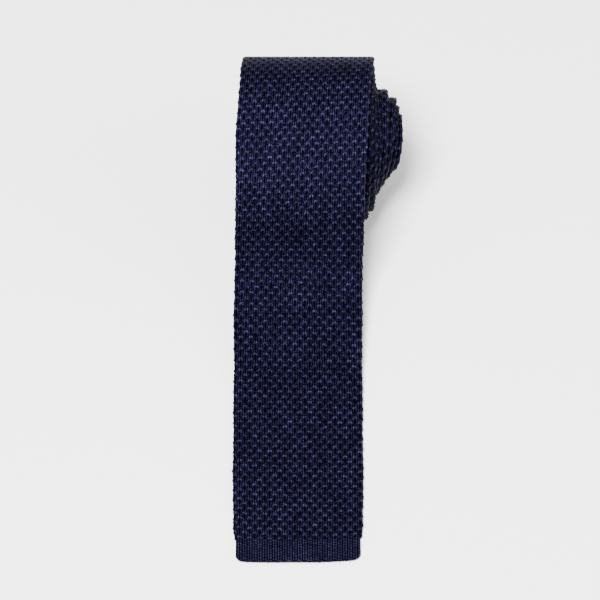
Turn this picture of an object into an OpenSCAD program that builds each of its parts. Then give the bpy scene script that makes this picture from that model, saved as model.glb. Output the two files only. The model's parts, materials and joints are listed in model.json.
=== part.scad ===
// Slim square-ended knitted necktie, rolled up from its narrow end, with the blade drawn off the
// top of the roll and laid flat in front of it.
// Millimetres. X runs across the tie, +Y along the blade towards the roll, +Z up. The origin is
// the centre of the underside of the stretch of blade that lies flat.

/* [Tie] */
// Width of the tie laid flat
tie_width = 60; // [50:1:70]
// Thickness of the knitted tube pressed flat, both plies together
tie_thickness = 3; // [2.4:0.1:3.2]
// Space between the two plies of the tube
ply_gap = 0.2; // [0.1:0.05:0.3]
// Length of the ribbed band at each end
hem_band_length = 13; // [8:1:14]
// Thickness of the ribbed band, which is knitted tighter than the rest
hem_band_thickness = 2.6; // [2:0.1:3]
// Gap between neighbouring links of the tube where it can bend
bend_gap = 0.3; // [0.2:0.05:0.5]

/* [Blade] */
// Length of blade that lies flat, from its end to where it starts to rise
flat_length = 85; // [75:1:110]
// Distance from the end of the blade to the line where the end can be turned up
fold_distance = 30; // [24:1:36]

/* [Drape] */
// Radius of the shallow bend where the blade leaves the table
rise_radius = 200; // [180:5:220]
// Angle of the shallow bend
rise_angle = 20; // [18:1:22]
// Radius of the sharper bend up to the roll
sweep_radius = 40; // [36:1:44]
// Angle of the sharper bend
sweep_angle = 50; // [46:1:52]
// Sideways drift of the blade from the table to the top of the roll
drape_drift = 2.1; // [0:0.1:4]

/* [Roll] */
// Centreline radius of the outermost turn at the top of the roll
roll_radius = 38.5; // [38:0.5:42]
// Distance between the centrelines of neighbouring turns
turn_pitch = 3.8; // [3.6:0.05:4]
// Sideways step of each turn past the one outside it
turn_step = 2.5; // [0:0.1:3]

/* [Back of the blade] */
// Width of the keeper loop across the tie
keeper_width = 46; // [36:1:52]
// Length of the keeper loop along the tie
keeper_length = 12; // [8:1:16]
// Thickness of the keeper loop's band
keeper_thickness = 1; // [0.8:0.1:1.2]
// Room between the keeper loop and the blade for the tail to pass
keeper_room = 0.6; // [0.4:0.1:0.8]
// Width of the plain label above the blade's end
label_width = 26; // [20:1:34]
// Length of the plain label along the tie
label_length = 12; // [8:1:13]

/* [Hidden] */
rise_count = 2;
sweep_count = 3;
crest_count = 4;
drape_count = rise_count + sweep_count + crest_count;
loose_turns = 2;
links_per_turn = 15;
loose_count = loose_turns * links_per_turn;
core_turns = 6;
core_steps = 30;
first_core_turn = loose_turns + 1;
last_turn = loose_turns + core_turns;

// Angles turned by one link or arc; positive bends the tie up, negative bends it over the roll.
rise_step = rise_angle / rise_count;
sweep_step = sweep_angle / sweep_count;
crest_step = -(rise_angle + sweep_angle) / crest_count;
link_step = -360 / links_per_turn;

// Radius of the roll's centreline after a number of turns from the top.
function radius_after(turns) = roll_radius - turn_pitch * turns;

// Drop of the centreline from the top of the roll to its lowest point, link by link.
function drop_from(i) =
    let (from = -link_step * i, to = min(180, from - link_step))
    from >= 180 ? 0
    : radius_after((i + 0.5) / links_per_turn) * (cos(from) - cos(to)) + drop_from(i + 1);

half = tie_thickness / 2;
crest_height = half + drop_from(0);
rise_height = rise_radius * (1 - cos(rise_angle));
sweep_height = sweep_radius * (cos(rise_angle) - cos(rise_angle + sweep_angle));
crest_radius = (crest_height - half - rise_height - sweep_height)
    / (1 - cos(rise_angle + sweep_angle));

// Every link's arc of the centreline, in order from the table: [radius, angle turned].
arcs = concat(
    [for (i = [1 : rise_count]) [rise_radius, rise_step]],
    [for (i = [1 : sweep_count]) [sweep_radius, sweep_step]],
    [for (i = [1 : crest_count]) [crest_radius, crest_step]],
    [for (i = [1 : loose_count]) [radius_after((i - 0.5) / links_per_turn), link_step]]
);

// Where each arc starts, and where the last one ends: [y, z, direction in degrees above +Y].
landing_y = (flat_length - fold_distance) / 2;
starts = [
    for (
        i = 0, y = landing_y, z = half, a = 0;
        i <= len(arcs);
        arc = arcs[min(i, len(arcs) - 1)],
        r = arc[0] * sign(arc[1]),
        y = y + r * (sin(a + arc[1]) - sin(a)),
        z = z - r * (cos(a + arc[1]) - cos(a)),
        a = a + arc[1],
        i = i + 1
    ) [y, z, a]
];

// The tight turns follow a spiral whose radius shrinks evenly. A point on it is given by the
// turns from the top of the roll and by its distance outside the centreline.
core_y = starts[len(arcs)][0];
core_z = starts[len(arcs)][1] - radius_after(loose_turns);
shrink = turn_pitch / (2 * PI);
function core_point(turns, outside) =
    let (angle = 360 * turns, r = radius_after(turns) + outside)
    [core_y + r * sin(angle) + shrink * (1 - cos(angle)),
     core_z + r * cos(angle) + shrink * sin(angle)];
function turns_of(length, turns) = length / (2 * PI * radius_after(turns));
tail_turns = turns_of(hem_band_length, last_turn - 0.12);
care_label_length = 12;
care_label_turns = turns_of(care_label_length, last_turn - 0.3);

// The arcs that start at a hinge. The arcs between two hinges touch and move together.
hinge_arcs = [2, 4, 8, 11, 17];
function gap_before(i) = len(search(i, hinge_arcs)) > 0 ? end_gap : 0;

// Sideways place of a link: it drifts over the drape and then steps out turn by turn.
function drape_x(i) = drape_drift * (i - 0.5) / drape_count;
function turn_x(turns) = drape_drift + turn_step * turns;

fold_y = landing_y - flat_length + fold_distance;
end_y = landing_y - flat_length;
end_gap = bend_gap / 2;

stitch_radius = 0.4;
stitch_length = 3.6;
stitch_pitch = 4.8;
stitch_count = floor((tie_width - 2 * tie_thickness) / stitch_pitch);
trim_gap = 0.05;
label_thickness = 0.35;
label_distance = 21;
keeper_foot = 4;
tack_length = 9;
tack_width = 2;
tack_thickness = 0.5;
care_label_width = 20;
slit_run = 0.01;

knit_colour = [0.09, 0.10, 0.22];
rib_colour = [0.11, 0.12, 0.25];
thread_colour = [0.06, 0.07, 0.16];
label_colour = [0.12, 0.13, 0.20];
$fn = 180;

function link_name(turn, i) = str("turn_", turn, "_link_", i);
function drape_name(i) = str("drape_link_", i);
function turn_name(turn) = str("turn_", turn);

// Cross-section of the flattened tube: round folded edges, and a slit between its two plies.
module tube_section(thickness) {
    straight = tie_width - thickness;
    difference() {
        union() {
            square([straight, thickness], center = true);
            translate([straight / 2, 0])
                circle(d = thickness);
            translate([-straight / 2, 0])
                circle(d = thickness);
        }
        square([straight, ply_gap], center = true);
    }
}

// A flat stretch of the tube lying on the table.
module flat_tube(from_y, to_y, thickness) {
    translate([0, to_y, half])
        rotate([90, 0, 0])
            linear_extrude(to_y - from_y)
                tube_section(thickness);
}

// Sweeps a section round an arc's own axis. The section's x is the radius and its y runs
// across the tie; trims shorten the arc at its two ends, in millimetres on the centreline.
module along_arc(i, x, start_trim, end_trim) {
    radius = arcs[i][0];
    angle = arcs[i][1];
    way = sign(angle);
    a = starts[i][2];
    start_angle = start_trim / radius * 180 / PI;
    end_angle = end_trim / radius * 180 / PI;
    first = way > 0 ? a - 90 + start_angle : a + 90 + angle + end_angle;
    translate([x, starts[i][0] - way * radius * sin(a), starts[i][1] + way * radius * cos(a)])
        rotate(120, [1, 1, 1])
            rotate(first)
                rotate_extrude(angle = abs(angle) - start_angle - end_angle)
                    children();
}

// One arc of the flattened tube.
module tube_link(i, x) {
    along_arc(i, x, gap_before(i), gap_before(i + 1))
        translate([arcs[i][0], 0])
            rotate(90)
                tube_section(tie_thickness);
}

// A band that follows the tight turns, between two distances outside their centreline.
module spiral_band(from, to, low, high, width, x) {
    steps = ceil((to - from) * core_steps);
    there = [for (k = [0 : steps]) core_point(from + (to - from) * k / steps, high)];
    back = [for (k = [steps : -1 : 0]) core_point(from + (to - from) * k / steps, low)];
    translate([x, 0, 0])
        rotate(120, [1, 1, 1])
            translate([0, 0, -width / 2])
                linear_extrude(width)
                    polygon(concat(there, back));
}

// The flattened tube along the tight turns: thinner towards its folds, and hollow.
module spiral_tube(from, to, thickness, x) {
    difference() {
        union() {
            spiral_band(from, to, -thickness / 2, thickness / 2, tie_width - thickness / 2, x);
            spiral_band(from, to, -thickness / 4, thickness / 4, tie_width, x);
        }
        spiral_band(from - slit_run, to + slit_run, -ply_gap / 2, ply_gap / 2,
            tie_width - thickness, x);
    }
}

// A row of closing stitches across the tie, just past an end of it, in that end's own frame.
module stitch_row() {
    for (k = [1 : stitch_count])
        translate([(k - (stitch_count + 1) / 2) * stitch_pitch, 0, 0])
            rotate([0, 90, 0])
                cylinder(r = stitch_radius, h = stitch_length, center = true);
}

module blade_hem_seam() {
    color(thread_colour)
        translate([0, end_y - stitch_radius - trim_gap, half])
            stitch_row();
}

module blade_hem_band() {
    color(rib_colour)
        translate([0, 0, (hem_band_thickness - tie_thickness) / 2])
            flat_tube(end_y, end_y + hem_band_length, hem_band_thickness);
}

module blade_end() {
    color(knit_colour)
        flat_tube(end_y + hem_band_length, fold_y - end_gap, tie_thickness);
}

module blade_flat() {
    color(knit_colour)
        flat_tube(fold_y + end_gap, landing_y, tie_thickness);
}

module drape_link(i) {
    color(knit_colour)
        tube_link(i - 1, drape_x(i));
}

module turn_link(turn, i) {
    turns = turn - 1 + (i - 0.5) / links_per_turn;
    color(knit_colour)
        tube_link(drape_count + (turn - 1) * links_per_turn + i - 1, turn_x(turns));
}

// One whole turn of the tightly rolled middle. The innermost one stops at the tail's band.
module core_turn(turn) {
    from = turn == first_core_turn ? loose_turns : turn - 1 + turns_of(end_gap, turn - 1);
    to = turn == last_turn ? last_turn - tail_turns : turn - turns_of(end_gap, turn);
    color(knit_colour)
        spiral_tube(from, to, tie_thickness, turn_x(turn - 0.5));
}

module tail_hem_band() {
    color(rib_colour)
        spiral_tube(last_turn - tail_turns, last_turn, hem_band_thickness,
            turn_x(last_turn - 0.5));
}

module tail_hem_seam() {
    end = core_point(last_turn, 0);
    color(thread_colour)
        translate([turn_x(last_turn - 0.5), end[0] + stitch_radius + trim_gap, end[1]])
            stitch_row();
}

// Band across the back of the blade, open in the middle, its two ends turned in to the blade.
module keeper_loop() {
    i = rise_count - 1;
    inner = rise_radius + half + trim_gap;
    trim = (rise_radius * rise_step * PI / 180 - keeper_length) / 2;
    color(knit_colour)
        along_arc(i, drape_x(rise_count), trim, trim)
            difference() {
                translate([inner, -keeper_width / 2])
                    square([keeper_room + keeper_thickness, keeper_width]);
                translate([inner, keeper_foot - keeper_width / 2])
                    square([keeper_room, keeper_width - 2 * keeper_foot]);
            }
}

module keeper_tacks() {
    i = rise_count - 1;
    inner = rise_radius + half + 2 * trim_gap + keeper_room + keeper_thickness;
    trim = (rise_radius * rise_step * PI / 180 - tack_length) / 2;
    color(thread_colour)
        for (side = [-1, 1])
            along_arc(i, drape_x(rise_count), trim, trim)
                translate([inner, (side * (keeper_width - keeper_foot) - tack_width) / 2])
                    square([tack_thickness, tack_width]);
}

module blade_label() {
    inner = rise_radius + half + trim_gap;
    end_trim = rise_radius * rise_step * PI / 180 - label_distance - label_length;
    color(label_colour)
        along_arc(0, drape_x(1), label_distance, end_trim)
            translate([inner, -label_width / 2])
                square([label_thickness, label_width]);
}

// Label inside the innermost turn, on the face of the tail that looks into the hollow.
module care_label() {
    outer = -half - trim_gap;
    color(label_colour)
        spiral_band(last_turn - tail_turns - care_label_turns, last_turn - tail_turns,
            outer - label_thickness, outer, care_label_width, turn_x(last_turn - 0.5));
}

blade_hem_seam();
blade_hem_band();
blade_end();
blade_flat();
for (i = [1 : drape_count])
    drape_link(i);
for (turn = [1 : loose_turns])
    for (i = [1 : links_per_turn])
        turn_link(turn, i);
for (turn = [first_core_turn : last_turn])
    core_turn(turn);
tail_hem_band();
tail_hem_seam();
keeper_loop();
keeper_tacks();
blade_label();
care_label();
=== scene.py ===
"""Looks of the rolled knitted necktie: a stitched surface for every stretch of the tube, its trims,
a pale floor, soft light and the camera. Lengths are millimetres until a mesh is made."""

import json
import math

import bpy
import numpy as np
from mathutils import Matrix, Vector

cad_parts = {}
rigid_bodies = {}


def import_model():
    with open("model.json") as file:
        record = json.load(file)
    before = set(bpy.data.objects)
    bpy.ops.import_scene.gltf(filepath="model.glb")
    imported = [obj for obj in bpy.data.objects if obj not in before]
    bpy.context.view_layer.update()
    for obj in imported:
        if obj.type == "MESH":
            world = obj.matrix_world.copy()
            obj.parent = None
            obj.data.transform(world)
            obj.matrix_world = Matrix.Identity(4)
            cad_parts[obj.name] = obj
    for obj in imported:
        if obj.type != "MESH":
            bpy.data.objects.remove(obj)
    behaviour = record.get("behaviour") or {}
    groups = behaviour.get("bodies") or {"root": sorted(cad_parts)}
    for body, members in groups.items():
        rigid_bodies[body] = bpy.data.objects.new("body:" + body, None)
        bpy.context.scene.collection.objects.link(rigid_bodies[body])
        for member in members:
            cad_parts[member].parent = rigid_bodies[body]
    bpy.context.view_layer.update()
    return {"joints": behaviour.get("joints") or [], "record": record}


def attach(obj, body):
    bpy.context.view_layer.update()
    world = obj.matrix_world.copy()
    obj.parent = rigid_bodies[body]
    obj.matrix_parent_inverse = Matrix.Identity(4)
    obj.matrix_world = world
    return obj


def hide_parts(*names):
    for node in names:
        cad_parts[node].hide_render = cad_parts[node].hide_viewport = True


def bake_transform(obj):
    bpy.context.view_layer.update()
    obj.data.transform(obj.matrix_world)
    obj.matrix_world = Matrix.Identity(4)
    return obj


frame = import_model()

MM = 0.001

# The flat tube, and its centreline as in the CAD: flat, then arcs over the drape and two turns, then
# a spiral. FOLD_AT is where the tip turns up, and LINE_MARGIN runs the line on before the blade's end.
FLAT_LENGTH = 85.0
LANDING_Y = 27.5
FOLD_AT = 30.0
HALF_THICKNESS = 1.5
RISE_RADIUS, RISE_ANGLE, RISE_LINKS = 200.0, 20.0, 2
SWEEP_RADIUS, SWEEP_ANGLE, SWEEP_LINKS = 40.0, 50.0, 3
CREST_LINKS = 4
ROLL_RADIUS = 38.5
TURN_PITCH = 3.8
LINKS_PER_TURN = 15
LOOSE_TURNS = 2
LAST_TURN = 8
BAND_LENGTH = 13.0
LINE_MARGIN = 5.0
ARC_POINTS, SPIRAL_POINTS = 25, 2400

# How far the tie stands to +X: over the drape, by turns still to go to the top of the roll, and then
# at the back, underside and front of each turn. No turn lies quite square on the last.
DRIFT_TURNS = [-0.45, -0.25, -0.12, -0.05, 0.03]
DRIFT_STEPS = [0.0, 0.9, 1.6, 2.5, 3.7]
BACK_AT, UNDER_AT, FRONT_AT = 0.12, 0.63, 0.87
BACK_STEPS = [5.2, 5.2, 5.2, 5.4, 11.5, 15.7, 17.6, 18.5]
UNDER_STEPS = [1.6, 4.4, 4.7, 6.3, 8.4, 12.3, 15.4, 17.0]
FRONT_STEPS = [4.4, 6.6, 8.9, 12.0, 14.5, 16.9, 19.0, 19.3]

# Knitting: half thickness of the tube under its stitches, how much thinner the hem's is, and how far
# the stitches and the hem's ribs stand out and sink in.
CLOTH_HALF = 1.06
BAND_THINNER = 0.14
STITCH_HIGH, STITCH_LOW = 0.43, -0.26
RIB_HIGH, RIB_LOW = 0.3, -0.16
RIB_BAR_PITCH = 1.65

# Where the stitches lie: wales in the whole round of the tube, how far the middle one stands off the
# middle of the face, and rows knitted before the line starts.
WALES_ROUND = 54
WALES_OFF_MIDDLE = 0.37
ROWS_BEFORE_END = 1.77

# Painted highlight, raised in the yarn's tone where the sweep turns it to the light: how much, where,
# and how far each way.
GLEAM, GLEAM_AT, GLEAM_REACH = 0.9, 230, 36

# The ends of the tube: corner radius, length over which the plies close, and the rows of points there.
CORNER_RADIUS = 3.2
CLOSING_LENGTH = 1.2
END_ROWS = np.array([0.012, 0.1, 0.3, 0.6])
END_ROWS_LENGTH = 0.8

# Mesh steps: along the tie and round its section, for what shows and for what the roll hides. Half a
# face is about FACE_HALF wide, and a hidden one is only fine for EDGE_WIDTH in from its edges.
ROW_STEP = 0.4
HIDDEN_ROW_STEP = 0.8
SHOWN_STEP = 0.22
FINE_STEP = 0.31
UNDER_STEP = 0.45
HIDDEN_STEP = 2.4
FACE_HALF = 29
EDGE_WIDTH = 9.0
FOLD_STEPS = 9

# Finest mesh: the upper face as far as this turn, and the underside as far as the folded tip shows it.
FINEST_TO_TURN = 0.1
TIP_SHOWN_TO = 40.0

# Reach of the bend on each side of a hinge, by the body after it: long where the loosened crest and
# back should stay round. Then at the folded tip and the sliding turns.
BEND_REACHES = {
    "drape_lower": 6.5,
    "drape_upper": 6.5,
    "crest": 18.0,
    "roll_back": 18.0,
    "roll": 12.0,
}
TIP_REACH = 7.0
SLIDE_REACH = 8.0

# Each stitch's own shade, repeated after so many wales and so many stitches.
TONE_WALES, TONE_STITCHES = 64, 1024
STITCH_TONES = np.random.default_rng(7).random((TONE_WALES, TONE_STITCHES))


# ---------------------------------------------------------------- the centreline


def turn_radius(turns):
    return ROLL_RADIUS - TURN_PITCH * turns


def fall_to_table():
    """Height of the roll's centreline at the top above its lowest point."""
    link = 2 * math.pi / LINKS_PER_TURN
    fall = 0.0
    for i in range(LINKS_PER_TURN):
        start, end = link * i, min(math.pi, link * (i + 1))
        if start < math.pi:
            fall += turn_radius((i + 0.5) / LINKS_PER_TURN) * (math.cos(start) - math.cos(end))
    return fall


def drape_arcs():
    """Radius and angle turned, in degrees, of each arc from the table to the end of the second turn."""
    rise, whole = math.radians(RISE_ANGLE), math.radians(RISE_ANGLE + SWEEP_ANGLE)
    climbed = RISE_RADIUS * (1 - math.cos(rise))
    climbed += SWEEP_RADIUS * (math.cos(rise) - math.cos(whole))
    crest_radius = (fall_to_table() - climbed) / (1 - math.cos(whole))
    arcs = [(RISE_RADIUS, RISE_ANGLE / RISE_LINKS)] * RISE_LINKS
    arcs += [(SWEEP_RADIUS, SWEEP_ANGLE / SWEEP_LINKS)] * SWEEP_LINKS
    arcs += [(crest_radius, -(RISE_ANGLE + SWEEP_ANGLE) / CREST_LINKS)] * CREST_LINKS
    for i in range(LOOSE_TURNS * LINKS_PER_TURN):
        arcs.append((turn_radius((i + 0.5) / LINKS_PER_TURN), -360 / LINKS_PER_TURN))
    return arcs


def centreline():
    """Columns s, y, z, direction in radians and turns of the roll, and s at the end of each arc."""
    rows = [(-LINE_MARGIN, LANDING_Y - FLAT_LENGTH - LINE_MARGIN, HALF_THICKNESS, 0.0, 0.0)]
    s, y, z, a = FLAT_LENGTH, LANDING_Y, HALF_THICKNESS, 0.0
    rows.append((s, y, z, a, 0.0))
    joints_at = [s]
    first_turn = RISE_LINKS + SWEEP_LINKS + CREST_LINKS
    for i, (radius, degrees) in enumerate(drape_arcs()):
        angle = math.radians(degrees)
        signed = math.copysign(radius, angle)
        for share in np.linspace(0, 1, ARC_POINTS)[1:]:
            b = a + angle * share
            rows.append((
                s + radius * abs(angle) * share,
                y + signed * (math.sin(b) - math.sin(a)),
                z - signed * (math.cos(b) - math.cos(a)),
                b,
                max(0.0, (i - first_turn + share) / LINKS_PER_TURN),
            ))
        s, y, z, a, _ = rows[-1]
        joints_at.append(s)
    turns = np.linspace(LOOSE_TURNS, LAST_TURN, SPIRAL_POINTS)
    angle = 2 * math.pi * turns
    shrink = TURN_PITCH / (2 * math.pi)
    radius = turn_radius(turns)
    core_y = y + radius * np.sin(angle) + shrink * (1 - np.cos(angle))
    core_z = z - turn_radius(LOOSE_TURNS) + radius * np.cos(angle) + shrink * np.sin(angle)
    length = np.r_[0, np.cumsum(np.hypot(np.diff(core_y), np.diff(core_z)))]
    core = np.stack([s + length, core_y, core_z, -angle, turns], 1)[1:]
    return np.vstack([np.array(rows), core]).T, joints_at


LINE, LINKS_AT = centreline()
TIE_LENGTH = float(LINE[0, -1])
BAND_FROM = TIE_LENGTH - BAND_LENGTH


def along(column, s):
    return np.interp(s, LINE[0], LINE[column])


def s_of_turn(turns):
    """Distance along the tie where the roll has made so many turns."""
    return float(np.interp(turns, LINE[4], LINE[0]))


def smooth(t):
    t = np.clip(t, 0, 1)
    return t * t * (3 - 2 * t)


def side_steps():
    """Turns of the roll and how far the tie stands to +X there, in order along the tie."""
    at, steps = list(DRIFT_TURNS), list(DRIFT_STEPS)
    for turn, three in enumerate(zip(BACK_STEPS, UNDER_STEPS, FRONT_STEPS, strict=True)):
        at += [turn + BACK_AT, turn + UNDER_AT, turn + FRONT_AT]
        steps += three
    return at, steps


SIDE_AT, SIDE_STEPS = side_steps()


def side_step(s):
    """How far the middle of the tie stands to +X, rounded off where the slope changes."""
    drape = np.minimum(s - LINE[0, LINE[4] > 0][0], 0) / (2 * math.pi * ROLL_RADIUS)
    turns = along(4, s) + drape
    near = [np.interp(turns + 0.015 * i, SIDE_AT, SIDE_STEPS) for i in range(-3, 4)]
    return sum(near) / len(near)


def place(s, x, n):
    """Points s along the tie, x across it and n off its middle, in metres in the row frame."""
    angle = along(3, s)
    y = along(1, s) - n * np.sin(angle)
    z = along(2, s) + n * np.cos(angle)
    return np.stack([x + side_step(s), y, z], -1) * MM


# ---------------------------------------------------------------- the knitted tube


def half_width(s):
    """Half of the flat tube's width: the ends are knitted narrower, with rounded corners."""
    from_end = np.minimum(s, TIE_LENGTH - s)
    width = np.interp(
        from_end,
        [13, 13.6, 22, 36, 80, 110, 190, 235],
        [28.8, 29.5, 30.2, 30.4, 30.3, 30.05, 30.05, 30.8],
    )
    # The edges waver a little.
    width = width + 0.13 * np.sin(s / 7.1) + 0.08 * np.sin(s / 2.9 + 1)
    corner = np.clip(CORNER_RADIUS - from_end, 0, CORNER_RADIUS)
    return width - (CORNER_RADIUS - np.sqrt(CORNER_RADIUS**2 - corner**2))


def end_closing(s):
    """Share of the full thickness: the two ends are closed over a short distance."""
    near = np.clip(1 - np.minimum(s, TIE_LENGTH - s) / CLOSING_LENGTH, 0, 0.98)
    return np.sqrt(1 - near**2)


def hem_skew(s, x):
    """How far the blade's end, closed a little askew, stands back: most at its right corner."""
    skew = np.interp(x, [-30, -22, -12, 0, 10, 22, 30], [0.9, 0.2, 0.0, 0.2, 0.1, 0.9, 2.0])
    return skew * smooth(1 - s / 70)


def wale_pitch(s):
    """Width of a column of stitches."""
    return np.interp(s, [13, 85, 150, 262], [2.33, 2.34, 2.28, 2.14])


def row_pitch(s):
    """Length of a row of stitches: stretched where the tie lies flat, closer over the sweep."""
    at = [0, 85, 120, 155, 175, 190, 208, 226, 244, 262, 300]
    return np.interp(s, at, [3.05, 3.1, 2.97, 2.88, 2.6, 2.66, 2.64, 2.74, 2.86, 2.9, 2.8])


def row_tilt(s):
    """How far along the tie a row moves for each millimetre across it."""
    at = [0, 35, 60, 85, 165, 182, 195, 250, 300]
    return np.interp(s, at, [-0.04, -0.04, -0.02, -0.02, -0.036, 0.0, 0.045, 0.05, 0.05])


# Rows of stitches knitted by each place along the tie.
COUNT_STEP = 0.25
ROW_S = np.arange(-LINE_MARGIN, TIE_LENGTH + 6, COUNT_STEP)
ROW_COUNT = np.cumsum(COUNT_STEP / row_pitch(ROW_S))


def hump(distance, radius):
    """Round top of a yarn, 1 over its middle and 0 beyond its radius."""
    return np.sqrt(np.clip(1 - (distance / radius) ** 2, 0, 1))


def stitch_tone(wale, stitch):
    """A stitch's own shade, 0 to 1."""
    return STITCH_TONES[wale.astype(int) % TONE_WALES, stitch.astype(int) % TONE_STITCHES]


def knit_relief(u, v):
    """Height, 0 to 1, and tone, 0 to 1, of the tuck stitches at u wales across and v rows along.
    A stitch is two rows long and its neighbours stand a row apart. Its two legs open upwards beside
    a low line, painted dark as shade, rise as they go, and end in a pair of high bows, painted bright
    as a highlight, above the next stitch's foot."""
    wale = np.floor(u + 0.5)
    height = 0.2 * smooth((np.abs(u - wale) - 0.3) / 0.15)
    tone = np.full_like(u, 0.5)
    for beside in (-1, 0, 1):
        i = wale + beside
        off = np.abs(u - i)
        stitch = np.floor((v + i) / 2)
        # p runs from 0 at the foot of a stitch to 1 at its top, and arch follows the curve of its bow.
        p = (v + i) / 2 - stitch
        arch = p + 0.4 * np.minimum(off, 0.5) ** 2
        rise = smooth((arch - 0.7) / 0.2) * smooth((1.04 - arch) / 0.1)
        opening = smooth((p - 0.2) / 0.2) * smooth((0.9 - p) / 0.12)
        spread = 0.2 + 0.05 * p + 0.06 * opening
        lift = 0.52 - 0.12 * opening + 0.48 * rise
        leg = lift * hump(off - spread, 0.13 - 0.02 * opening + 0.09 * rise)
        here = np.maximum(leg, 0.55 * rise * hump(off, 0.6))
        tone = np.where(here > height, stitch_tone(i, stitch), tone)
        height = np.maximum(height, here)
    return height, tone


def band_relief(u, s):
    """Height and tone of the hem's close ribs, with the short bars of its stitches."""
    wale = np.floor(u + 0.5)
    rib = hump(np.abs(u - wale) - 0.24, 0.17)
    bar = s / RIB_BAR_PITCH
    bars = 0.5 + 0.5 * np.cos(2 * math.pi * (bar + 0.5 * (wale % 2)))
    return rib * (0.4 + 0.6 * bars), stitch_tone(wale, bar)


def section(across, under):
    """The ring of points round the tube: f runs -1 to 1 over its flat faces, angle goes round its
    folds from 0 on top to pi below, and side says which fold. across and under list f."""
    fold = np.linspace(0, math.pi, FOLD_STEPS + 2)[1:-1]
    right, left = np.ones_like(fold), -np.ones_like(fold)
    f = np.r_[across, right, under[::-1], left]
    angle = np.r_[across * 0, fold, under * 0 + math.pi, fold[::-1]]
    side = np.r_[np.sign(across), right, np.sign(under[::-1]), left]
    return f, angle, side


def even(step):
    """Places across a face, a step apart."""
    return np.linspace(-1, 1, 2 * round(FACE_HALF / step) + 1)


def fine_edges(step, middle_step):
    """Places across a face that only shows near its two edges."""
    edge = np.linspace(-1, -1 + EDGE_WIDTH / FACE_HALF, round(EDGE_WIDTH / step) + 1)
    steps = 2 * round((FACE_HALF - EDGE_WIDTH) / middle_step)
    middle = np.linspace(edge[-1], -edge[-1], steps + 1)
    return np.r_[edge, middle[1:-1], -edge[::-1]]


def mesh_places(s_from, s_to):
    """Rows along a stretch, and places across its upper face and its underside."""
    outside = s_from < s_of_turn(1)
    if outside:
        across = even(SHOWN_STEP if s_from < s_of_turn(FINEST_TO_TURN) else FINE_STEP)
        under = even(SHOWN_STEP if s_to < TIP_SHOWN_TO else UNDER_STEP)
    else:
        across = fine_edges(FINE_STEP, HIDDEN_STEP)
        under = across
    rows = max(8, math.ceil((s_to - s_from) / (ROW_STEP if outside else HIDDEN_ROW_STEP)))
    s = np.linspace(s_from, s_to, rows + 1)
    if s_from == 0:
        s = np.r_[END_ROWS, s[s > END_ROWS_LENGTH]]
    if s_to == TIE_LENGTH:
        s = np.r_[s[s < TIE_LENGTH - END_ROWS_LENGTH], TIE_LENGTH - END_ROWS[::-1]]
    return s[:, None], across, under


def tube_shape(s_from, s_to, band):
    """Rows by ring arrays of s, x, n, height, tone, and the yarn's own coordinates, of one stretch."""
    s, across, under = mesh_places(s_from, s_to)
    f, angle, side = section(across, under)
    closing = end_closing(s)
    half = (CLOTH_HALF - (BAND_THINNER if band else 0)) * closing
    flat = half_width(s) - half
    x = f * flat + side * half * np.sin(angle)
    pitch = wale_pitch(s)
    folded = np.abs(side) * half * angle
    edge = (flat + math.pi * CLOTH_HALF) / pitch
    below = np.sign(side) * (edge + (1 - np.abs(f)) * (WALES_ROUND / 2 - edge))
    u = np.where(angle == math.pi, below, (f * flat + side * folded) / pitch) - WALES_OFF_MIDDLE
    v = np.interp(s, ROW_S, ROW_COUNT) + ROWS_BEFORE_END - x * row_tilt(s) / row_pitch(s)
    if band:
        height, tone = band_relief(u, s + 0 * u)
        low, high = RIB_LOW, RIB_HIGH
    else:
        height, tone = knit_relief(u, v)
        # Painted highlight: the tone, and so the colour, is raised where the sweep turns the yarn to
        # the light.
        tone = tone + GLEAM * hump(s - GLEAM_AT, GLEAM_REACH)
        low, high = STITCH_LOW, STITCH_HIGH
    raised = (low + (high - low) * height) * closing
    n = half * np.cos(angle) + raised * np.cos(angle)
    x = x + raised * np.sin(angle) * side
    return s + hem_skew(s, x), x, n, height, tone, u, v


def yarn_piece(name, mesh, relief, tone, lay):
    """Puts a mesh in the scene, with what the yarn materials read at each of its points."""
    count = len(mesh.vertices)
    for attribute, values in (("relief", relief), ("tone", tone)):
        each = np.broadcast_to(np.ravel(values), count).astype(np.float32)
        mesh.attributes.new(attribute, "FLOAT", "POINT").data.foreach_set("value", each)
    each = lay.reshape(count, 3).astype(np.float32).ravel()
    mesh.attributes.new("lay", "FLOAT_VECTOR", "POINT").data.foreach_set("vector", each)
    piece = bpy.data.objects.new(name, mesh)
    bpy.context.scene.collection.objects.link(piece)
    return piece


def swept_mesh(name, s, x, n, height, tone, u, v):
    """A closed mesh from rows of rings, with its two ends capped and the yarn's attributes."""
    rows, ring = x.shape
    points = place(s + 0 * x, x, n).reshape(-1, 3)
    grid = np.arange(rows * ring).reshape(rows, ring)
    beside = np.roll(grid, -1, axis=1)
    quads = np.stack([grid[:-1], beside[:-1], beside[1:], grid[1:]], -1).reshape(-1)
    corners = np.r_[quads, grid[0][::-1], grid[-1]]
    count = (rows - 1) * ring
    starts = np.r_[np.arange(count) * 4, count * 4, count * 4 + ring]
    mesh = bpy.data.meshes.new(name)
    mesh.vertices.add(rows * ring)
    mesh.vertices.foreach_set("co", points.astype(np.float32).ravel())
    mesh.loops.add(len(corners))
    mesh.loops.foreach_set("vertex_index", corners.astype(np.int32))
    mesh.polygons.add(count + 2)
    mesh.polygons.foreach_set("loop_start", starts.astype(np.int32))
    rounded = np.ones(count + 2, bool)
    rounded[-2:] = False
    mesh.polygons.foreach_set("use_smooth", rounded)
    mesh.update(calc_edges=True)
    return yarn_piece(name, mesh, height, tone, np.stack([u + 0 * x, v + 0 * x, n], -1))


# ---------------------------------------------------------------- materials


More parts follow.
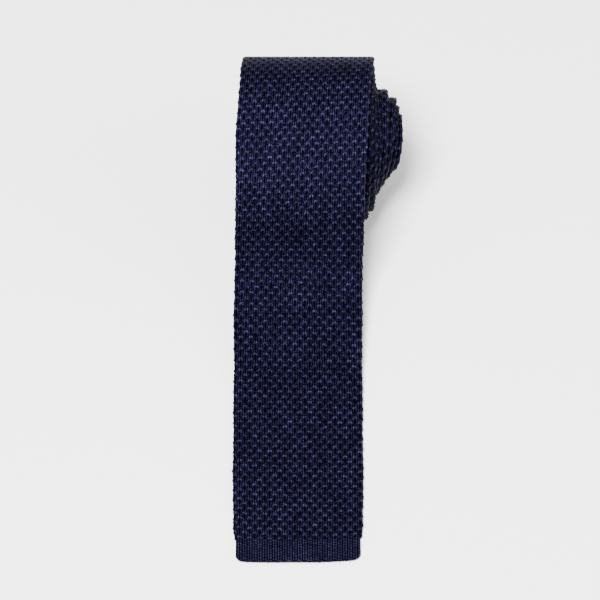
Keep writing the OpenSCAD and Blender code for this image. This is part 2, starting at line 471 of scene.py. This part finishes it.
class Nodes:
    """Short names for building one material's node tree."""

    def __init__(self, name):
        self.material = bpy.data.materials.new(name)
        self.material.use_nodes = True
        self.tree = self.material.node_tree
        self.shader = self.tree.nodes["Principled BSDF"]

    def add(self, kind, inputs=None, **settings):
        node = self.tree.nodes.new(kind)
        for key, value in settings.items():
            setattr(node, key, value)
        for key, value in (inputs or {}).items():
            if isinstance(value, bpy.types.NodeSocket):
                self.tree.links.new(value, node.inputs[key])
            else:
                node.inputs[key].default_value = value
        return node

    def attribute(self, name, output):
        return self.add("ShaderNodeAttribute", attribute_name=name).outputs[output]

    def ramp(self, factor, stops):
        node = self.add("ShaderNodeValToRGB", {"Fac": factor})
        elements = node.color_ramp.elements
        while len(elements) < len(stops):
            elements.new(0.5)
        for element, (position, colour) in zip(elements, stops, strict=True):
            element.position = position
            element.color = (*colour, 1)
        return node.outputs["Color"]

    def math(self, operation, a, b, added=0.0):
        inputs = {0: a, 1: b, 2: added}
        return self.add("ShaderNodeMath", inputs, operation=operation).outputs[0]

    def scale_colour(self, colour, amount):
        node = self.add("ShaderNodeVectorMath", {0: colour, "Scale": amount}, operation="SCALE")
        return node.outputs[0]

    def noise(self, vector, scale, detail):
        node = self.add("ShaderNodeTexNoise", {"Vector": vector, "Scale": scale, "Detail": detail})
        return node.outputs["Fac"]

    def stretched(self, vector, scale):
        node = self.add("ShaderNodeMapping", {"Vector": vector, "Scale": scale})
        return node.outputs["Vector"]

    def finish(self, colour, bump, strength, distance):
        tree, shader = self.tree, self.shader
        tree.links.new(colour, shader.inputs["Base Color"])
        inputs = {"Height": bump, "Strength": strength, "Distance": distance}
        node = self.add("ShaderNodeBump", inputs)
        tree.links.new(node.outputs["Normal"], shader.inputs["Normal"])
        return self.material


def yarn_material(name, stops, roughness, specular, tone_spread, grain_spread):
    """Filament yarn: painted shade in its gaps and a painted highlight on its crowns, set by the
    relief, with twist, fluff and mottling.
    """
    m = Nodes(name)
    lay = m.attribute("lay", "Vector")
    # Painted shade and highlight: the relief picks darker colours low in the knit and brighter ones on
    # its crowns.
    colour = m.ramp(m.attribute("relief", "Fac"), stops)
    tone = m.attribute("tone", "Fac")
    spread = m.math("MULTIPLY_ADD", tone, tone_spread, 1 - tone_spread * 0.45)
    mottle = m.noise(m.stretched(lay, (0.35, 0.22, 0.3)), 1.0, 2.0)
    fibres = m.noise(m.stretched(lay, (4.8, 3.3, 4.0)), 1.0, 2.0)
    cloudy = m.math("MULTIPLY_ADD", mottle, 0.9, 0.55)
    grain = m.math("MULTIPLY_ADD", fibres, grain_spread, 1 - grain_spread / 2)
    grain = m.math("MAXIMUM", grain, 0.08)
    amount = m.math("MULTIPLY", m.math("MULTIPLY", spread, cloudy), grain)
    shader = m.shader
    shader.inputs["Roughness"].default_value = roughness
    shader.inputs["Specular IOR Level"].default_value = specular
    shader.inputs["Specular Tint"].default_value = (0.33, 0.33, 0.9, 1)
    twist = m.noise(m.stretched(lay, (14.0, 9.0, 6.0)), 1.0, 4.0)
    return m.finish(m.scale_colour(colour, amount), twist, 0.5, 0.0003)


def label_material():
    """Plain satin ribbon with a fine cross weave."""
    m = Nodes("label")
    lay = m.attribute("lay", "Vector")
    weave = m.noise(m.stretched(lay, (3.0, 24.0, 1.0)), 1.0, 2.0)
    colour = m.ramp(weave, [(0.3, (0.009, 0.010, 0.024)), (0.7, (0.021, 0.023, 0.050))])
    m.shader.inputs["Roughness"].default_value = 0.38
    m.shader.inputs["Specular IOR Level"].default_value = 0.3
    return m.finish(colour, weave, 0.4, 0.0001)


# Colours picked by the yarn's relief: painted shade down in the gaps, its own navy, painted highlight
# on the crowns.
GAP_SHADE = (0.0001, 0.0001, 0.0005)
DEEP_SHADE = (0.0011, 0.0010, 0.0032)
NAVY = (0.0056, 0.0048, 0.0142)
CROWN_HIGHLIGHT = (0.0145, 0.0125, 0.0360)

MATERIALS = {
    "knit": yarn_material(
        "knit", [(0.05, GAP_SHADE), (0.2, DEEP_SHADE), (0.5, NAVY), (1.0, CROWN_HIGHLIGHT)], 0.5, 0.02, 0.4, 10.0
    ),
    "rib": yarn_material(
        "rib", [(0.0, GAP_SHADE), (0.3, DEEP_SHADE), (0.62, NAVY), (0.95, CROWN_HIGHLIGHT)], 0.55, 0.02, 0.5, 5.5
    ),
    "thread": yarn_material(
        "thread", [(0.0, DEEP_SHADE), (0.5, NAVY), (0.9, NAVY), (1.0, CROWN_HIGHLIGHT)], 0.5, 0.03, 0.3, 4.0
    ),
    "label": label_material(),
}


def dress(piece, slot, nodes):
    """Gives a piece its material, and lets it stand for CAD nodes."""
    piece.data.materials.append(MATERIALS[slot])
    if nodes:
        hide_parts(*nodes)
    return piece


# ---------------------------------------------------------------- floor


def make_floor():
    """A wide pale plane, a hair below the cloth that lies on it."""
    mesh = bpy.data.meshes.new("floor")
    half = 8.0
    corners = [(-half, -half, 0), (half, -half, 0), (half, half, 0), (-half, half, 0)]
    mesh.from_pydata(corners, [], [(0, 1, 2, 3)])
    piece = bpy.data.objects.new("floor", mesh)
    piece.location.z = -0.00005
    bpy.context.scene.collection.objects.link(piece)
    m = Nodes("floor")
    m.shader.inputs["Base Color"].default_value = (0.93, 0.93, 0.93, 1)
    m.shader.inputs["Roughness"].default_value = 0.9
    m.shader.inputs["Specular IOR Level"].default_value = 0.1
    mesh.materials.append(m.material)
    return piece


floor = make_floor()


# ---------------------------------------------------------------- stretches of the tube


def node_spans():
    """Each CAD node of the tube with the stretch of tie that it covers."""
    spans = [
        ("blade_hem_band", 0, BAND_LENGTH),
        ("blade_end", BAND_LENGTH, FOLD_AT),
        ("blade_flat", FOLD_AT, FLAT_LENGTH),
    ]
    drapes = RISE_LINKS + SWEEP_LINKS + CREST_LINKS
    for i in range(len(LINKS_AT) - 1):
        turn, link = divmod(i - drapes, LINKS_PER_TURN)
        name = f"drape_link_{i + 1}" if i < drapes else f"turn_{turn + 1}_link_{link + 1}"
        spans.append((name, LINKS_AT[i], LINKS_AT[i + 1]))
    for turn in range(LOOSE_TURNS + 1, LAST_TURN + 1):
        end = min(s_of_turn(turn), BAND_FROM)
        spans.append((f"turn_{turn}", s_of_turn(turn - 1), end))
    spans.append(("tail_hem_band", BAND_FROM, TIE_LENGTH))
    return spans


def bends():
    """Where neighbouring bodies of the tube meet: distance along the tie, the two bodies, reach."""
    found = [(FOLD_AT, "blade_tip", "blade", TIP_REACH)]
    next_joint = {j["parent"]: j for j in frame["joints"] if j["child"] != "blade_tip"}
    body = "blade"
    slid = LOOSE_TURNS + 1
    while body in next_joint:
        joint = next_joint[body]
        if joint["type"] == "hinge":
            y, z = (value / MM for value in joint["pos_m"][1:])
            off = [math.hypot(along(1, s) - y, along(2, s) - z) for s in LINKS_AT]
            reach = BEND_REACHES[joint["child"]]
            found.append((LINKS_AT[off.index(min(off))], body, joint["child"], reach))
        else:
            found.append((s_of_turn(slid), body, joint["child"], SLIDE_REACH))
            slid += 1
        body = joint["child"]
    return found


def tube_piece(name, s_from, s_to, band=False):
    """One stretch of the tube, which stands for the CAD nodes that it covers."""
    piece = swept_mesh(name, *tube_shape(s_from, s_to, band))
    covered = [n for n, start, end in node_spans() if min(end, s_to) - max(start, s_from) > 0.5]
    dress(piece, "rib" if band else "knit", covered)
    return piece


def build_tube():
    """Lays the stretches end to end: one that rides on each body, and one that lies over each joint."""
    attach(tube_piece("hem_band", 0, BAND_LENGTH, band=True), "blade_tip")
    reached, last_body = BAND_LENGTH, "blade_tip"
    # Two of the stretches are long and finely meshed, so each is made in two pieces.
    splits = {FLAT_LENGTH: "flat", s_of_turn(1): "outside"}
    for s, before, after, reach in bends():
        for split, part in splits.items():
            if reached < split < s - reach:
                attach(tube_piece(f"knit_{before}_{part}", reached, split), before)
                reached = split
        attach(tube_piece(f"knit_{before}", reached, s - reach), before)
        piece = tube_piece(f"bend_to_{after}", s - reach, s + reach)
        start, end = (place(np.array(at), 0.0, 0.0) for at in (s - reach, s + reach))
        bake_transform(piece)
        reached, last_body = s + reach, after
    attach(tube_piece(f"knit_{last_body}", reached, BAND_FROM), last_body)
    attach(tube_piece("tail_band", BAND_FROM, TIE_LENGTH, band=True), last_body)


build_tube()


# ---------------------------------------------------------------- trims

# The middle of the keeper along the tie, and the height under which what is sewn to the back starts.
KEEPER_AT = (LINKS_AT[1] + LINKS_AT[2]) / 2
BACK = -HALF_THICKNESS - 0.05
LABEL_LENGTH, LABEL_THICKNESS = 12, 0.32


def strip(name, s_from, s_to, half, low, high):
    """A thin band across the tie: low and high give n for each x from -half to half."""
    x = np.linspace(-half, half, max(9, round(4 * half) + 1))
    rows = np.linspace(s_from, s_to, max(9, round((s_to - s_from) / 0.5) + 1))[:, None]
    ring_x = np.r_[x, x[::-1]] + 0 * rows
    n = np.r_[high(x), low(x)[::-1]] + 0 * rows
    height = 0.55 + 0.35 * np.sin(ring_x * 2 * math.pi / 1.1)
    out = np.r_[np.ones(len(x)), -np.ones(len(x))]
    n = n + out * 0.05 * (height - 0.5)
    return swept_mesh(name, rows, ring_x, n, height, 0.5, ring_x, rows)


def keeper():
    """The band across the back of the blade that holds the tail, its ends turned in to the cloth."""
    half, breadth, room, thick, foot = 23.0, 12, 0.6, 1.0, 4.0
    start, end = KEEPER_AT - breadth / 2, KEEPER_AT + breadth / 2

    def high(x):
        return BACK - room * smooth((half - np.abs(x)) / foot - 0.6)

    def low(x):
        edge = smooth((half - np.abs(x)) / 1.2) * 0.5
        return BACK - room - thick * (0.5 + edge)

    piece = dress(strip("keeper", start, end, half, low, high), "rib", ["keeper_loop"])
    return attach(piece, body_of("keeper_loop"))


def bar_tack(side):
    """A dense bar of satin stitches over one end of the keeper."""
    half_length, half_breadth, half_depth, stitch = 4.5, 1.0, 0.32, 0.45
    middle_x, middle_n = side * 21.0, -HALF_THICKNESS - 1.75
    s = np.linspace(KEEPER_AT - half_length, KEEPER_AT + half_length, 91)[:, None]
    angle = np.linspace(0, 2 * math.pi, 25)[-2::-1]
    waves = 1 + 0.12 * np.cos(s / stitch * 2 * math.pi)
    x = middle_x + half_breadth * waves * np.cos(angle)
    n = middle_n + half_depth * waves * np.sin(angle)
    piece = swept_mesh(f"bar_tack_{'right' if side > 0 else 'left'}", s, x, n, 0.8, 0.5, x, s)
    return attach(dress(piece, "thread", ["keeper_tacks"]), body_of("keeper_tacks"))


def body_of(node):
    """The body that carries a CAD node."""
    groups = frame["record"]["behaviour"]["bodies"]
    return next(body for body, members in groups.items() if node in members)


def plain_label(name, node, s_from, width):
    """A blank label on the back of the tie."""

    def high(x):
        return BACK + 0 * x

    def low(x):
        return BACK - LABEL_THICKNESS + 0 * x

    s_to = s_from + LABEL_LENGTH
    piece = dress(strip(name, s_from, s_to, width / 2, low, high), "label", [node])
    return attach(piece, body_of(node))


def closing_stitches(name, node, end, way):
    """Whipped stitches that close the tube's end: short threads from one ply over to the other."""
    count, spacing, thread, wrap, bite = 11, 4.8, 0.2, 1.02, 1.6
    sides = 8
    turn = np.linspace(-0.06, 1.06, 13) * math.pi
    around = np.linspace(0, 2 * math.pi, sides + 1)[:-1]
    points, faces = [], []
    for k in range(count):
        middle_x = (k - (count - 1) / 2) * spacing
        base = sum(len(p) for p in points)
        for t in turn:
            slant = 1.2 * (t / math.pi - 0.5)
            s = end + way * (bite - (bite + 0.1 + thread * np.cos(around)) * math.sin(t))
            n = (wrap + thread * np.cos(around)) * math.cos(t)
            x = middle_x + slant + thread * np.sin(around)
            points.append(place(s + hem_skew(s, x), x, n) + over_end(s))
        for row in range(len(turn) - 1):
            for c in range(sides):
                a, b = base + row * sides + c, base + row * sides + (c + 1) % sides
                faces.append((a, a + sides, b + sides, b))
        last = base + (len(turn) - 1) * sides
        faces.append(tuple(base + c for c in range(sides)))
        faces.append(tuple(last + c for c in reversed(range(sides))))
    points = np.vstack(points)
    mesh = bpy.data.meshes.new(name)
    mesh.from_pydata(points.tolist(), [], faces)
    mesh.polygons.foreach_set("use_smooth", np.ones(len(mesh.polygons), bool))
    piece = yarn_piece(name, mesh, 0.85, 0.5, points / MM)
    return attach(dress(piece, "thread", [node]), body_of(node))


def over_end(s):
    """Carries a point that is past the tail's end straight on, where the centreline stops."""
    past = np.clip(s - TIE_LENGTH, 0, 5) * MM
    angle = float(LINE[3, -1])
    return np.stack([0 * past, past * math.cos(angle), past * math.sin(angle)], -1)


keeper()
bar_tack(-1)
bar_tack(1)
plain_label("label", "blade_label", s_from=FLAT_LENGTH + 21, width=26)
plain_label("tail_label", "care_label", s_from=BAND_FROM - LABEL_LENGTH, width=20)
closing_stitches("hem_stitches", "blade_hem_seam", 0.0, 1)
closing_stitches("tail_stitches", "tail_hem_seam", TIE_LENGTH, -1)


# ---------------------------------------------------------------- light and camera

# Places and sizes of lights and camera are in metres, and the lens and its sensor in millimetres.
TARGET = (0.94 * MM, 109.3 * MM, 0.0)
VIEW_WIDTH = 0.2812
ELEVATION = math.radians(47.2)
LENS, SENSOR = 1400.0, 36.0


def aim(thing, target):
    direction = np.array(thing.location) - np.array(target)
    look = Vector(tuple(direction)).to_track_quat("Z", "Y")
    thing.rotation_mode = "QUATERNION"
    thing.rotation_quaternion = look


def soft_light(name, location, size, power):
    """A square soft box, aimed at the middle of the tie."""
    light = bpy.data.lights.new(name, "AREA")
    light.shape = "SQUARE"
    light.size = size
    light.energy = power
    holder = bpy.data.objects.new(name, light)
    holder.location = location
    bpy.context.scene.collection.objects.link(holder)
    aim(holder, (0.0, 0.08, 0.0))
    return holder


def light_scene():
    world = bpy.data.worlds.new("studio")
    world.use_nodes = True
    background = world.node_tree.nodes["Background"]
    background.inputs["Color"].default_value = (1, 1, 1, 1)
    background.inputs["Strength"].default_value = 0.9
    bpy.context.scene.world = world
    soft_light("key", (-0.35, -0.75, 1.8), 0.7, 175)
    soft_light("back", (0.3, 1.5, 1.1), 0.9, 1.5)
    soft_light("side", (1.4, -0.2, 1.0), 0.8, 15)


def add_camera():
    data = bpy.data.cameras.new("camera")
    data.lens, data.sensor_width = LENS, SENSOR
    data.clip_start, data.clip_end = 0.1, 50
    holder = bpy.data.objects.new("camera", data)
    distance = VIEW_WIDTH * LENS / SENSOR
    back = (0.0, -math.cos(ELEVATION) * distance, math.sin(ELEVATION) * distance)
    holder.location = tuple(t + b for t, b in zip(TARGET, back, strict=True))
    bpy.context.scene.collection.objects.link(holder)
    aim(holder, TARGET)
    bpy.context.scene.camera = holder


light_scene()
add_camera()
